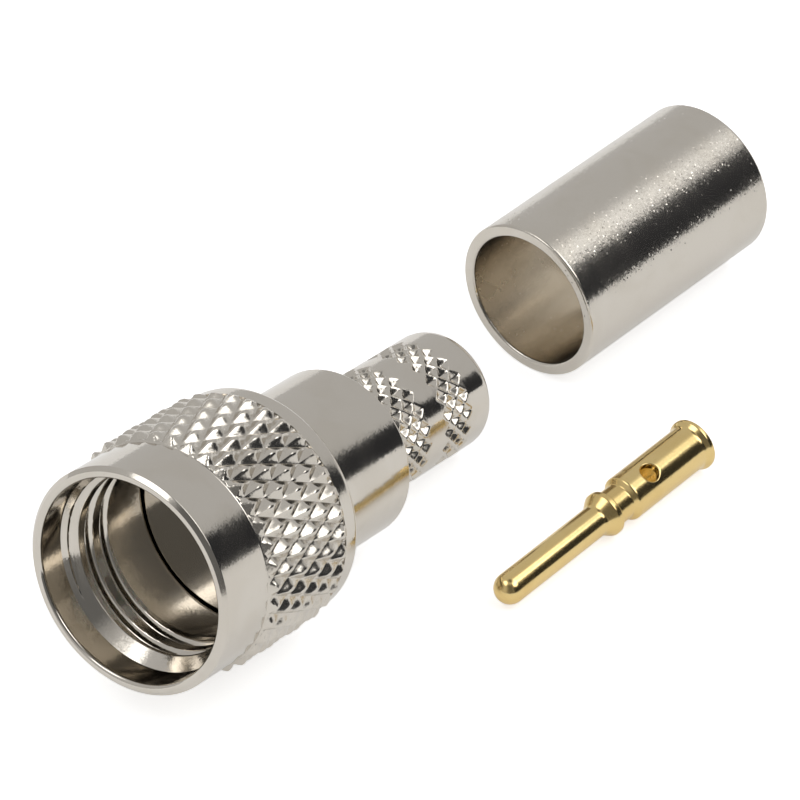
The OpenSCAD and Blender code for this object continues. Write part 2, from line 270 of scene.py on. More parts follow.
# %% Knurled stretch
knurl_cols = KNURL_STARTS * 2 * KNURL_STEPS
nut_turn = np.linspace(0, 2 * math.pi, knurl_cols + 1)
ring_step = KNURL_PITCH / KNURL_STEPS
END_GAP = 0.01
last_row = math.floor((LAND_AT - END_GAP - FIRST_CREST) / ring_step)
bevel_z = np.linspace(RING_LEN + END_GAP, FIRST_CREST, BEVEL_ROWS)
knurl_z = FIRST_CREST + ring_step * np.arange(1, last_row + 1)
knurl_z = np.concatenate([bevel_z, knurl_z, [LAND_AT - END_GAP]])


def pyramid_height(distance, turn):
    """1 - |across| - |along| from the nearest tip, with eased ridges, raised to a power that hollows the
    flanks, and held between two levels: the rolls leave the valleys round, and the tips not quite filled.
    Both limits are taken softly. Scaled to run from 0 to 1."""
    across, along, _ = nearest_tip(distance, turn, KNURL_STARTS, KNURL_PITCH)
    height = np.maximum(1 - eased(across, KNURL_SOFT) - eased(along, KNURL_SOFT), 0) ** KNURL_HOLLOW
    limit = 1 - TIP_WORN
    height = 0.5 * (height + limit - np.hypot(height - limit, FILL_SOFT))
    height = 0.5 * (height + VALLEY_FILL + np.hypot(height - VALLEY_FILL, FILL_SOFT))
    return (height - height.min()) / (height.max() - height.min())


into_bevel = np.maximum(knurl_z - RING_LEN - BEVEL_BACK, 0)
front_bevel = RING_R + (crest_r - RING_R) * into_bevel / FRONT_BEVEL
rear_bevel = LAND_R + (crest_r - LAND_R) * (LAND_AT - knurl_z) / REAR_BEVEL
knurl_height = pyramid_height(knurl_z[:, None] - FIRST_CREST, nut_turn[:-1] - KNURL_TURN)
knurl_r = ROOT_R + (crest_r - ROOT_R) * knurl_height
knurl_r = np.minimum(knurl_r, np.minimum(front_bevel, rear_bevel)[:, None])
print("knurl rows", len(knurl_z), "columns", knurl_cols)

# %% [markdown]
# The thread is a groove along a right-hand helix, 24 turns to the inch. Blender's Screw modifier could wind
# it, but its ends would need cutting to fit the relief and the cone. Its phase grows with the distance
# and falls with the turn, so one formula holds for the whole stretch, and the lead-in cone simply cuts it
# where it is wider.

# %% Threaded stretch
INCH, TURNS_PER_INCH = 25.4, 24
THREAD_PITCH = INCH / TURNS_PER_INCH
THREAD_DEPTH = 0.34
THREAD_START = 0.45
CREST_SHARE, ROOT_SHARE = 0.42, 0.08
THREAD_ROWS = 96
thread_mount = np.array(mounts["coupling_thread"]["pos_m"])
thread_middle = (thread_mount - nut_place["front"]) @ nut_place["axes"][2] / MM
thread_at = thread_middle - thread_len / 2
thread_end = thread_middle + thread_len / 2


def thread_groove(distance, turn):
    """Depth from 0 on a crest to 1 in the root: a trapezium wave of the phase d / pitch - t / full turn,
    with its flanks eased at both ends."""
    phase = distance / THREAD_PITCH - turn / (2 * math.pi) - THREAD_START
    from_root = 2 * np.abs(phase - np.round(phase))
    flank = np.clip((1 - CREST_SHARE - from_root) / (1 - CREST_SHARE - ROOT_SHARE), 0, 1)
    return flank * flank * (3 - 2 * flank)


thread_z = np.linspace(thread_end - END_GAP, MOUTH_DEPTH, THREAD_ROWS)[:-1]
cone_r = thread_crest_r + (MOUTH_R - thread_crest_r) * (thread_at - thread_z) / (thread_at - MOUTH_DEPTH)
groove = thread_groove(thread_z[:, None], nut_turn[:-1])
thread_r = np.maximum(thread_crest_r + THREAD_DEPTH * groove, cone_r[:, None])
print("thread from", round(thread_at, 2), "to", round(thread_end, 2), "mm behind the mouth")

# %% Nut from its stretches
clip_front = nut_len - LIP_LEN / 2 - CLIP_ROOM_LEN / 2
clip_rear = nut_len - LIP_LEN / 2 + CLIP_ROOM_LEN / 2
lip_at = nut_len - LIP_LEN
nut_front = outline([
    (MOUTH_R, MOUTH_DEPTH), (MOUTH_R, 0, MOUTH_EDGE), (RING_R - RIM_CHAMFER, 0, RIM_EDGE),
    (RING_R, RIM_CHAMFER, RIM_EDGE), (RING_R, RING_LEN - EDGE_ROOM), (RING_R, RING_LEN)])
nut_rear = outline([
    (LAND_R, LAND_AT), (LAND_R, LAND_AT + EDGE_ROOM), (LAND_R - LAND_TAPER, nut_len, LAND_EDGE),
    (LIP_R, nut_len, LIP_REAR_EDGE), (LIP_R, clip_rear), (CLIP_ROOM_R, clip_rear), (CLIP_ROOM_R, clip_front),
    (LIP_R, clip_front), (LIP_R, lip_at, LIP_FRONT_EDGE), (RELIEF_R, lip_at),
    (RELIEF_R, thread_end, RELIEF_EDGE), (thread_crest_r, thread_end)])[:-1]


def all_round(values):
    """The same radius in every column."""
    return np.repeat(values[:, None], knurl_cols, axis=1)


nut_r = np.concatenate([all_round(nut_front[:, 0]), knurl_r, all_round(nut_rear[:, 0]), thread_r])
nut_z = np.concatenate([nut_front[:, 1], knurl_z, nut_rear[:, 1], thread_z])
nut_ids = np.pad(np.arange(nut_r.size).reshape(nut_r.shape), ((0, 1), (0, 1)), mode="wrap")
nut_flip = np.zeros((len(nut_z), knurl_cols), bool)
knurl_rows = slice(len(nut_front), len(nut_front) + len(knurl_z) - 1)
nut_flip[knurl_rows] = diamond_flip(knurl_z - FIRST_CREST, nut_turn - KNURL_TURN, KNURL_STARTS, KNURL_PITCH)
nut_path = np.stack([nut_r.mean(1), nut_z], axis=1)
nut_faces = grid_faces(nut_ids, nut_flip)
nut_piece = make_piece(
    "nut_turned", nut_place, turned_points(nut_r, nut_z[:, None], nut_turn[:-1]),
    nut_faces, lathe_place(nut_path, nut_turn[:-1], RING_R), sharp=32)
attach(nut_piece, "nut")
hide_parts("coupling_nut")

# %% [markdown]
# ## The plug body
#
# One turned shell: a flange that the nut hangs on, a smooth barrel, and the stem that the braid is crimped
# on. Two bands of small four-sided pits keep the braid from slipping. Both bands belong to one chessboard,
# in which three rings are left out. Pits cut by a boolean would leave the smooth stem full of long thin
# faces, so they are pressed into the grid itself, with rims as soft as the rolls leave them.

# %% Sizes of the body
FLANGE_R, BARREL_R, FRONT_HOLE_R, SEAT_R = 4.8025, 4.1, 1.6, 1.87
STEM_R, STEM_EDGE, STEM_ROOT, BARREL_EDGE = 2.93, 0.55, 0.05, 0.12
FRONT_HOLE_EDGE, FLANGE_FRONT_EDGE, FLANGE_REAR_EDGE, BORE_EDGE = 0.04, 0.08, 0.04, 0.08
FLANGE_LEN, FRONT_WALL, SEAT_LEN, STEM_LEN = 0.75, 0.8, 5.06, 8.45
GROOVE_R, GROOVE_LEN, GROOVE_MIDDLE = 3.75, 0.62, 1.56
PIT_STARTS, PIT_PITCH, PIT_STEPS, PIT_SHIFT = 21, 0.47, 8, 2
PIT_WIDTH, PIT_DEPTH, PIT_SOFT, PIT_RIM_SOFT = 0.66, 0.25, 0.04, 0.16
PIT_LEAD, PIT_RINGS, PIT_SKIP = 1.55, 4, 3
bore_r = mounts["cable_bore"]["dims"]["r_mm"]
stem_end = body_place["length"]
shoulder_at = stem_end - STEM_LEN
body_turn = np.linspace(0, 2 * math.pi, PIT_STARTS * 2 * PIT_STEPS + 1)
pit_turn = body_turn + PIT_SHIFT * body_turn[1]
print("body length", round(stem_end, 3), "shoulder at", round(shoulder_at, 3))

# %% Pitted stretch of the stem


def pit_depth(distance, turn):
    """Depth of the pits in mm, by the distance from the first ring: a four-sided point, 1 - reach, that
    ends softly where the distances across and along add up to half its width. Only the rings of the two
    bands have pits."""
    across, along, ring = nearest_tip(distance, turn, PIT_STARTS, PIT_PITCH)
    aside = eased(across * math.pi * STEM_R / PIT_STARTS, PIT_SOFT)
    reach = (aside + eased(along * PIT_PITCH, PIT_SOFT)) / (PIT_WIDTH / 2)
    first = (ring >= 0) & (ring < PIT_RINGS)
    second = (ring >= PIT_RINGS + PIT_SKIP) & (ring < 2 * PIT_RINGS + PIT_SKIP)
    inside = 1 - reach
    return PIT_DEPTH * (first | second) * 0.5 * (inside + np.hypot(inside, PIT_RIM_SOFT))


pit_first = shoulder_at + PIT_LEAD
last_ring = 2 * PIT_RINGS + PIT_SKIP - 1
pit_z = PIT_PITCH * np.arange(-PIT_STEPS + 1, (last_ring + 1) * PIT_STEPS) / PIT_STEPS
pit_r = STEM_R - pit_depth(pit_z[:, None], pit_turn[:-1])
pit_flip = diamond_flip(pit_z, pit_turn, PIT_STARTS, PIT_PITCH)
pit_z = pit_z + pit_first
print("pitted rows", len(pit_z), "from", round(pit_z[0], 2), "to", round(pit_z[-1], 2))

# %% Body from its stretches
groove_front, groove_rear = GROOVE_MIDDLE - GROOVE_LEN / 2, GROOVE_MIDDLE + GROOVE_LEN / 2
body_front = outline([
    (FRONT_HOLE_R, FRONT_WALL), (FRONT_HOLE_R, 0, FRONT_HOLE_EDGE), (FLANGE_R, 0, FLANGE_FRONT_EDGE),
    (FLANGE_R, FLANGE_LEN, FLANGE_REAR_EDGE), (BARREL_R, FLANGE_LEN), (BARREL_R, groove_front),
    (GROOVE_R, groove_front), (GROOVE_R, groove_rear), (BARREL_R, groove_rear),
    (BARREL_R, shoulder_at, BARREL_EDGE), (STEM_R, shoulder_at, STEM_ROOT), (STEM_R, pit_z[0] - END_GAP)])
body_rear = outline([
    (STEM_R, pit_z[-1] + END_GAP), (STEM_R, stem_end, STEM_EDGE), (bore_r, stem_end, BORE_EDGE),
    (bore_r, SEAT_LEN), (SEAT_R, SEAT_LEN), (SEAT_R, FRONT_WALL)])
body_cols = len(body_turn) - 1
body_r = np.concatenate([np.repeat(body_front[:, :1], body_cols, axis=1), pit_r,
                         np.repeat(body_rear[:, :1], body_cols, axis=1)])
body_z = np.concatenate([body_front[:, 1], pit_z, body_rear[:, 1]])
body_flip = np.zeros(body_r.shape, bool)
body_flip[len(body_front):len(body_front) + len(pit_z) - 1] = pit_flip
body_ids = np.pad(np.arange(body_r.size).reshape(body_r.shape), ((0, 1), (0, 1)), mode="wrap")
body_path = np.stack([body_r.mean(1), body_z], axis=1)
body_faces = grid_faces(body_ids, body_flip)
body_piece = make_piece(
    "body_turned", body_place, turned_points(body_r, body_z[:, None], body_turn[:-1]),
    body_faces, lathe_place(body_path, body_turn[:-1], BARREL_R), sharp=32)
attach(body_piece, "plug")
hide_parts("plug_body")

# %% [markdown]
# ## The crimp ferrule
#
# A length of drawn tube, cut off, tumbled and plated. A cylinder with a Solidify modifier would do for its
# plain shape, but its looks rest on the round edges of the cut ends, which a closed profile gives exactly,
# and later on the grain of its finish.

# %% Ferrule
FERRULE_EDGE = 0.14
FERRULE_COLS = 240
ferrule_r, ferrule_len = ferrule_place["radius"], ferrule_place["length"]
ferrule_bore_r = mounts["ferrule_bore"]["dims"]["r_mm"]
ferrule_path = outline([
    (ferrule_bore_r, 0, FERRULE_EDGE), (ferrule_r, 0, FERRULE_EDGE),
    (ferrule_r, ferrule_len, FERRULE_EDGE), (ferrule_bore_r, ferrule_len, FERRULE_EDGE)], closed=True)
ferrule_turn = np.linspace(0, 2 * math.pi, FERRULE_COLS + 1)[:-1]
ferrule_points = turned_points(ferrule_path[:, :1], ferrule_path[:, 1:], ferrule_turn)
ferrule_ids = np.arange(ferrule_points.shape[0] * FERRULE_COLS).reshape(-1, FERRULE_COLS)
ferrule_faces = grid_faces(np.pad(ferrule_ids, ((0, 1), (0, 1)), mode="wrap"))
ferrule_piece = make_piece(
    "ferrule_drawn", ferrule_place, ferrule_points, ferrule_faces,
    lathe_place(ferrule_path, ferrule_turn, ferrule_r))
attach(ferrule_piece, "plug")
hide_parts("crimp_ferrule")

# %% [markdown]
# ## The solder contact
#
# The contact is turned from brass and gold plated. A hole in its side lets solder run to the wire. A boolean
# would leave long thin faces round the hole, which show in such a bright metal. Here a window is left open
# in the grids of the outer wall and of the cup, and one polar grid runs from the outer window over the
# hole's round edge, through the wall, and out to the inner window.

# %% Sizes of the contact
SHAFT_LEN, CONE_LEN, COLLAR_LEN, NECK_LEN = 6.8, 0.55, 0.3, 0.95
COLLAR_R, NECK_R, CUP_R, RIM_LEN, RIM_FLARE = 1.11, 0.89, 1.12, 0.2, 0.25
HOLE_R, HOLE_BACK, HOLE_TURN, HOLE_EDGE = 0.475, 3.85, 25, 0.06
WINDOW_HALF, WINDOW_ROWS, WINDOW_COLS, CONTACT_COLS = 0.75, 13, 32, 96
NOSE_STEPS, SPREAD_STEPS, LIP_STEPS = 14, 6, 4
CONE_BLEND, COLLAR_FRONT_EDGE, COLLAR_REAR_EDGE = 0.35, 0.14, 0.1
NECK_FRONT_BLEND, NECK_REAR_BLEND, CUP_BLEND = 0.08, 0.1, 0.16
FLARE_BLEND, RIM_FRONT_EDGE, RIM_REAR_EDGE, CUP_EDGE = 0.3, 0.12, 0.07, 0.06
WALL_RING_SHARES = (0.3, 0.65)
shaft_r = mounts["contact_shaft"]["dims"]["r_mm"]
wire_r = mounts["solder_cup"]["dims"]["r_mm"]
cup_depth = mounts["solder_cup"]["dims"]["length_mm"]
rim_r, contact_end = contact_place["radius"], contact_place["length"]
collar_at = SHAFT_LEN + CONE_LEN
neck_at = collar_at + COLLAR_LEN
cup_at = neck_at + NECK_LEN
rim_at = contact_end - RIM_LEN
hole_at = contact_end - HOLE_BACK
hole_angle = math.pi + math.radians(HOLE_TURN)
print("contact length", round(contact_end, 3), "hole at", round(hole_at, 3))

# %% Contact profile, nose to cup
nose = np.linspace(0, math.pi / 2, NOSE_STEPS)[:-1]
nose_path = shaft_r * np.stack([np.sin(nose), 1 - np.cos(nose)], axis=1)
window_z = np.linspace(hole_at - WINDOW_HALF, hole_at + WINDOW_HALF, WINDOW_ROWS)
outer_path = outline([
    (shaft_r, shaft_r), (shaft_r, SHAFT_LEN, CONE_BLEND), (COLLAR_R, collar_at, COLLAR_FRONT_EDGE),
    (COLLAR_R, neck_at, COLLAR_REAR_EDGE), (NECK_R, neck_at, NECK_FRONT_BLEND),
    (NECK_R, cup_at, NECK_REAR_BLEND), (CUP_R, cup_at + CUP_R - NECK_R, CUP_BLEND),
    (CUP_R, window_z[0])])[:-1]
rim_path = outline([
    (CUP_R, window_z[-1]), (CUP_R, rim_at - RIM_FLARE, FLARE_BLEND), (rim_r, rim_at, RIM_FRONT_EDGE),
    (rim_r, contact_end, RIM_REAR_EDGE), (wire_r, contact_end, CUP_EDGE), (wire_r, window_z[-1])])[1:-1]
cup_path = np.array([[wire_r, contact_end - cup_depth], [0.0, contact_end - cup_depth]])
outer_window = np.stack([np.full(WINDOW_ROWS, CUP_R), window_z], axis=1)
inner_window = np.stack([np.full(WINDOW_ROWS, wire_r), window_z[::-1]], axis=1)
contact_path = np.concatenate([nose_path, outer_path, outer_window, rim_path, inner_window, cup_path])
outer_rows = len(nose_path) + len(outer_path) + np.arange(WINDOW_ROWS)
inner_rows = outer_rows[-1] + 1 + len(rim_path) + np.arange(WINDOW_ROWS)
contact_turn = hole_angle + 2 * math.pi * (np.arange(CONTACT_COLS) - WINDOW_COLS // 2) / CONTACT_COLS
contact_points = turned_points(contact_path[:, :1], contact_path[:, 1:], contact_turn)
print("contact profile points", len(contact_path))

# %% Contact wall with its two open windows
contact_ids = np.arange(contact_points.shape[0] * CONTACT_COLS).reshape(-1, CONTACT_COLS)
contact_ids[[0, -1]] = contact_ids[[0, -1], :1]
contact_ids = np.pad(contact_ids, ((0, 0), (0, 1)), mode="wrap")
contact_keep = np.ones((len(contact_path) - 1, CONTACT_COLS), bool)
contact_keep[outer_rows[:-1], :WINDOW_COLS] = False
contact_keep[inner_rows[:-1], :WINDOW_COLS] = False
wall_faces = grid_faces(contact_ids, keep=contact_keep)


def window_edge(block):
    """Edge of a block of vertex numbers, once round: low row, far column, high row, near column."""
    return np.concatenate([block[0, :-1], block[:-1, -1], block[-1, :0:-1], block[:0:-1, 0]])


outer_edge = window_edge(contact_ids[outer_rows, :WINDOW_COLS + 1])
inner_edge = window_edge(contact_ids[inner_rows[::-1], :WINDOW_COLS + 1])
print("vertices round the window", len(outer_edge))

# %% Polar grid through the solder hole
into = np.array([math.cos(hole_angle), math.sin(hole_angle), 0.0])
aside = np.array([-math.sin(hole_angle), math.cos(hole_angle), 0.0])
flat_points = contact_points.reshape(-1, 3)


def flat_edge(edge):
    """Window edge as (along the axis, aside) about the middle of the hole."""
    return np.stack([flat_points[edge, 2] - hole_at, flat_points[edge] @ aside], axis=1)


def bent(flat, radius, depth=0.0):
    """Flat points laid on a cylinder of a radius, moved in by a depth along the hole."""
    height = np.sqrt(radius ** 2 - flat[..., 1] ** 2) - depth
    along = flat[..., :1] + hole_at
    return height[..., None] * into + flat[..., 1:] * aside + along * UP


outer_flat, inner_flat = flat_edge(outer_edge), flat_edge(inner_edge)
spoke = outer_flat / np.linalg.norm(outer_flat, axis=1)[:, None]
spread = np.linspace(0, 1, SPREAD_STEPS + 1)[1:-1, None, None]
lip_bend = np.linspace(0, math.pi / 2, LIP_STEPS + 1)[:, None, None]
lip_flat = spoke * (HOLE_R + HOLE_EDGE * (1 - np.sin(lip_bend)))
lip_rings = bent(lip_flat, CUP_R, (HOLE_EDGE * (1 - np.cos(lip_bend)))[..., 0])
outer_rings = bent(outer_flat * (1 - spread) + lip_flat[0] * spread, CUP_R)
inner_circle = bent(spoke * HOLE_R, wire_r)
wall_share = np.array(WALL_RING_SHARES)[:, None, None]
wall_rings = lip_rings[-1] * (1 - wall_share) + inner_circle * wall_share
inner_rings = bent(spoke * HOLE_R * (1 - spread) + inner_flat * spread, wire_r)
hole_points = np.concatenate([outer_rings, lip_rings, wall_rings, inner_circle[None], inner_rings])
hole_ids = contact_points.size // 3 + np.arange(hole_points.size // 3).reshape(hole_points.shape[:2])
hole_ids = np.concatenate([outer_edge[None], hole_ids, inner_edge[None]])
hole_faces = grid_faces(np.pad(hole_ids, ((0, 0), (0, 1)), mode="wrap"))
print("rings through the hole", len(hole_points))

# %% Contact from wall and hole
contact_lathe = lathe_place(contact_path, contact_turn, CUP_R).reshape(-1, 3)
hole_lathe = hole_points.reshape(-1, 3)[:, [2, 0, 1]]
contact_local = np.concatenate([flat_points, hole_points.reshape(-1, 3)])
contact_faces = np.concatenate([wall_faces, hole_faces])
contact_piece = make_piece(
    "contact_turned", contact_place, contact_local, contact_faces,
    np.concatenate([contact_lathe, hole_lathe]), sharp=40)
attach(contact_piece, "plug")
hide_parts("center_contact")

# %% [markdown]
# ## Finishes shared by the metals
#
# Turned and plated parts show three things at once: rings left by the tool, the crystals of the plating, and
# faint marks of handling. Each is a node group with its own sizes, so that every metal can use it in its own
# measure.

# %% Node helpers


def add_node(tree, kind, sockets=None, **settings):
    """Adds a node, sets its properties, and gives its inputs values or links."""
    node = tree.nodes.new(kind)
    for name, value in settings.items():
        setattr(node, name, value)
    for name, value in (sockets or {}).items():
        if isinstance(value, bpy.types.NodeSocket):
            tree.links.new(value, node.inputs[name])
        else:
            node.inputs[name].default_value = value
    return node


def calculate(tree, operation, first, second=0.0):
    """Value of one math operation."""
    return add_node(tree, "ShaderNodeMath", {0: first, 1: second}, operation=operation).outputs["Value"]


def vector_math(tree, operation, first, second=(0, 0, 0)):
    """Vector of one vector operation."""
    node = add_node(tree, "ShaderNodeVectorMath", {0: first, 1: second}, operation=operation)
    return node.outputs["Vector"]


def ramp(tree, value, low, high, start=0.0, end=1.0, smooth=False):
    """Runs from start to end while the value runs from low to high, and stays level outside."""
    return add_node(tree, "ShaderNodeMapRange", {
        "Value": value, "From Min": low, "From Max": high, "To Min": start, "To Max": end},
        interpolation_type="SMOOTHSTEP" if smooth else "LINEAR").outputs["Result"]


def mix_colours(tree, factor, first, second):
    """Colour mix; colours are sockets or (r, g, b)."""
    sockets = {"Factor": factor}
    for place, colour in ((6, first), (7, second)):
        sockets[place] = colour if isinstance(colour, bpy.types.NodeSocket) else (*colour, 1.0)
    return add_node(tree, "ShaderNodeMix", sockets, data_type="RGBA").outputs[2]


# %% Helpers for node groups


def new_group(name, inputs, outputs):
    """Empty node group with float inputs {name: default} and outputs {name: kind}; returns tree, input and
    output nodes."""
    tree = bpy.data.node_groups.new(name, "ShaderNodeTree")
    for socket, default in inputs.items():
        made = tree.interface.new_socket(socket, in_out="INPUT", socket_type="NodeSocketFloat")
        made.default_value = default
    for socket, kind in outputs.items():
        tree.interface.new_socket(socket, in_out="OUTPUT", socket_type="NodeSocket" + kind)
    return tree, tree.nodes.new("NodeGroupInput").outputs, tree.nodes.new("NodeGroupOutput").inputs


def use_group(tree, group, **values):
    """Places a node group; its inputs take the named values, with underscores for spaces."""
    node = add_node(tree, "ShaderNodeGroup", node_tree=group)
    for name, value in values.items():
        node.inputs[name.replace("_", " ")].default_value = value
    return node


def object_mm(tree):
    """Object coordinates in millimetres."""
    coords = add_node(tree, "ShaderNodeTexCoord").outputs["Object"]
    return vector_math(tree, "MULTIPLY", coords, (1 / MM,) * 3)


# %% Turning marks


def turning_marks_group():
    """Noise that is squeezed along the profile and stretched round the axis, which leaves fine rings."""
    tree, given, result = new_group(
        "turning marks", {"Rings per mm": 9.0, "Stretch": 0.12}, {"Height": "Float"})
    place = add_node(tree, "ShaderNodeAttribute", attribute_name="lathe").outputs["Vector"]
    scale = add_node(tree, "ShaderNodeCombineXYZ", {
        "X": given["Rings per mm"], "Y": given["Stretch"], "Z": given["Stretch"]}).outputs["Vector"]
    rings = add_node(tree, "ShaderNodeTexNoise", {
        "Vector": vector_math(tree, "MULTIPLY", place, scale), "Scale": 1.0, "Detail": 3.0, "Roughness": 0.6})
    tree.links.new(rings.outputs["Fac"], result["Height"])
    return tree


turning_marks = turning_marks_group()
print("group", turning_marks.name)

# %% [markdown]
# Plating grows in crystals. On a bright bath they are too fine to see; on the tumbled ferrule single grains
# catch the lamp as sparks along the edge of a reflection. A bump texture would make each grain a dome, with
# every slope at once. Here each Voronoi cell gets one random lean instead: a small one for most, and a large
# one for the few that spark.

# %% Plating crystals


def crystals_group():
    """Normal that leans by a random amount in each cell: random x (tilt + spark tilt x pick), where pick
    rises from 0 to 1 over the given share of the cells."""
    tree, given, result = new_group(
        "plating crystals",
        {"Crystals per mm": 11.0, "Tilt": 0.01, "Spark tilt": 0.0, "Spark share": 0.06}, {"Normal": "Vector"})
    cells = add_node(tree, "ShaderNodeTexVoronoi", {
        "Vector": object_mm(tree), "Scale": given["Crystals per mm"]})
    chance = add_node(tree, "ShaderNodeTexWhiteNoise", {"Vector": cells.outputs["Position"]})
    dull_share = calculate(tree, "SUBTRACT", 1.0, given["Spark share"])
    pick = ramp(tree, chance.outputs["Value"], dull_share, 1.0)
    amount = calculate(tree, "ADD", calculate(tree, "MULTIPLY", pick, given["Spark tilt"]), given["Tilt"])
    centred = add_node(tree, "ShaderNodeVectorMath", {
        0: cells.outputs["Color"], 1: (2, 2, 2), 2: (-1, -1, -1)}, operation="MULTIPLY_ADD").outputs["Vector"]
    lean = add_node(tree, "ShaderNodeVectorMath", {0: centred, "Scale": amount}, operation="SCALE")
    normal = add_node(tree, "ShaderNodeNewGeometry").outputs["Normal"]
    leaning = vector_math(tree, "NORMALIZE", vector_math(tree, "ADD", normal, lean.outputs["Vector"]))
    tree.links.new(leaning, result["Normal"])
    return tree


crystals = crystals_group()
print("group", crystals.name)

# %% Handling marks


def handling_group():
    """Broad soft smudges and thin short scuffs, both from 0 to 1."""
    tree, given, result = new_group(
        "handling", {"Smudges per mm": 0.35}, {"Smudge": "Float", "Scuff": "Float"})
    place = object_mm(tree)
    broad = add_node(tree, "ShaderNodeTexNoise", {
        "Vector": place, "Scale": given["Smudges per mm"], "Detail": 4.0, "Distortion": 0.6})
    thin = add_node(tree, "ShaderNodeTexNoise", {
        "Vector": place, "Scale": 3.2, "Detail": 5.0, "Distortion": 2.2})
    tree.links.new(ramp(tree, broad.outputs["Fac"], 0.42, 0.68, smooth=True), result["Smudge"])
    tree.links.new(ramp(tree, thin.outputs["Fac"], 0.60, 0.72), result["Scuff"])
    return tree


handling = handling_group()
print("group", handling.name)

# %% [markdown]
# ## The metals
#
# Nickel is a warm grey metal and gold a deep yellow one: with a metallic shader the base colour is what the
# metal reflects. Everything else is small: the marks tilt the surface by a degree or two, and the smudges
# make it a little duller. The height of the turning marks is a real height in metres. One maker serves all
# the metals, because they differ only in its numbers.

# %% Metal maker


def metal(name, colour, dull_colour, roughness, rings, ring_height, **crystal):
    """Plated metal. Colour and roughness run from their first to their second value where it was handled.
    Crystals lean the surface first, and the turning marks are laid over them."""
    material = bpy.data.materials.new(name)
    material.use_nodes = True
    tree = material.node_tree
    shader = tree.nodes["Principled BSDF"]
    shader.inputs["Metallic"].default_value = 1.0
    marks = use_group(tree, turning_marks, Rings_per_mm=rings)
    grain = use_group(tree, crystals, **crystal)
    wear = use_group(tree, handling, Smudges_per_mm=0.4)
    dull = calculate(tree, "MAXIMUM", wear.outputs["Smudge"], wear.outputs["Scuff"])
    tree.links.new(mix_colours(tree, dull, colour, dull_colour), shader.inputs["Base Color"])
    tree.links.new(ramp(tree, dull, 0.0, 1.0, *roughness), shader.inputs["Roughness"])
    bump = add_node(tree, "ShaderNodeBump", {
        "Strength": 1.0, "Distance": ring_height, "Height": marks.outputs["Height"],
        "Normal": grain.outputs["Normal"]})
    tree.links.new(bump.outputs["Normal"], shader.inputs["Normal"])
    print("metal", name)
    return material


# %% Nickel, satin nickel, gold and bronze
NICKEL, NICKEL_DULL = (0.66, 0.618, 0.553), (0.64, 0.595, 0.525)
GOLD, GOLD_DULL = (0.83, 0.63, 0.285), (0.8, 0.59, 0.25)
BORE, BORE_DULL = (0.72, 0.665, 0.58), (0.69, 0.63, 0.54)
# Paler, brighter copy of the gold for the solder cup and hole: painted light that lifts the dim recess
CUP_GOLD_PAINTED_LIGHT = (0.97, 0.82, 0.5)
BRONZE, BRONZE_DULL = (0.72, 0.50, 0.27), (0.62, 0.41, 0.21)
bright_nickel = metal("bright_nickel", NICKEL, NICKEL_DULL, (0.09, 0.14), 9, 5e-7, Crystals_per_mm=14)
satin_nickel = metal(
    "satin_nickel", NICKEL, NICKEL_DULL, (0.16, 0.2), 5, 3e-7,
    Crystals_per_mm=14, Tilt=0.02, Spark_tilt=0.115, Spark_share=0.14)
rolled_nickel = metal(
    "rolled_nickel", NICKEL, NICKEL_DULL, (0.19, 0.24), 9, 3e-7, Crystals_per_mm=14, Tilt=0.03)
drawn_nickel = metal("drawn_nickel", BORE, BORE_DULL, (0.20, 0.30), 5, 3e-7, Crystals_per_mm=14)
hard_gold = metal("hard_gold", GOLD, GOLD_DULL, (0.15, 0.2), 10, 4e-7, Crystals_per_mm=16)
# Cup and hole: rougher from the drill, and in the paler gold that is painted light
drilled_gold_and_painted_light = metal(
    "drilled_gold_and_painted_light", CUP_GOLD_PAINTED_LIGHT, GOLD, (0.18, 0.24), 14, 1e-6, Crystals_per_mm=16, Tilt=0.03)
ring_bronze = metal(
    "ring_bronze", BRONZE, BRONZE_DULL, (0.22, 0.32), 6, 6e-7, Crystals_per_mm=12, Tilt=0.05)

# %% [markdown]
# Every piece shows two finishes. Where the rolls pressed the knurl and the pits, the metal is a little
# rougher than where the tool cut it, and the ferrule's bore keeps the dull skin of the drawn tube. The two
# could be told apart inside one material by a mask, but two materials on one mesh are easier to read and to
# change. The rows of the profile say which faces get the second one.

# %% Second finish on nut, body and ferrule


def two_finishes(piece, faces, first, second, in_second):
    """First material for the whole piece, second one for the faces with all their vertices in the mask."""
    piece.data.materials.append(first)
    piece.data.materials.append(second)
    chosen = in_second[faces].all(1)
    piece.data.polygons.foreach_set("material_index", chosen.astype(np.int32))
    print(piece.name, int(chosen.sum()), "of", len(chosen), "faces in", second.name)


knurl_stretch = (nut_z > RING_LEN) & (nut_z < LAND_AT) & (nut_path[:, 0] > RELIEF_R + END_GAP)
in_knurl = np.repeat(knurl_stretch, knurl_cols)
in_pits = np.repeat(body_r.min(1) < body_r.max(1) - END_GAP, body_cols)
in_bore = np.repeat(np.isclose(ferrule_path[:, 0], ferrule_bore_r), FERRULE_COLS)
two_finishes(nut_piece, nut_faces, bright_nickel, rolled_nickel, in_knurl)
two_finishes(body_piece, body_faces, bright_nickel, rolled_nickel, in_pits)
two_finishes(ferrule_piece, ferrule_faces, satin_nickel, drawn_nickel, in_bore)

# %% [markdown]
# The drill leaves the solder cup and its side hole rougher than the turned outside, so light bounces about in
# there and comes out a deep orange. Their gold is also paler and brighter than the gold outside, which is
# painted light that lifts the dim cup and hole. The faces of the contact know by their distance from the axis,
# or by lying on the hole's wall, which finish they get.

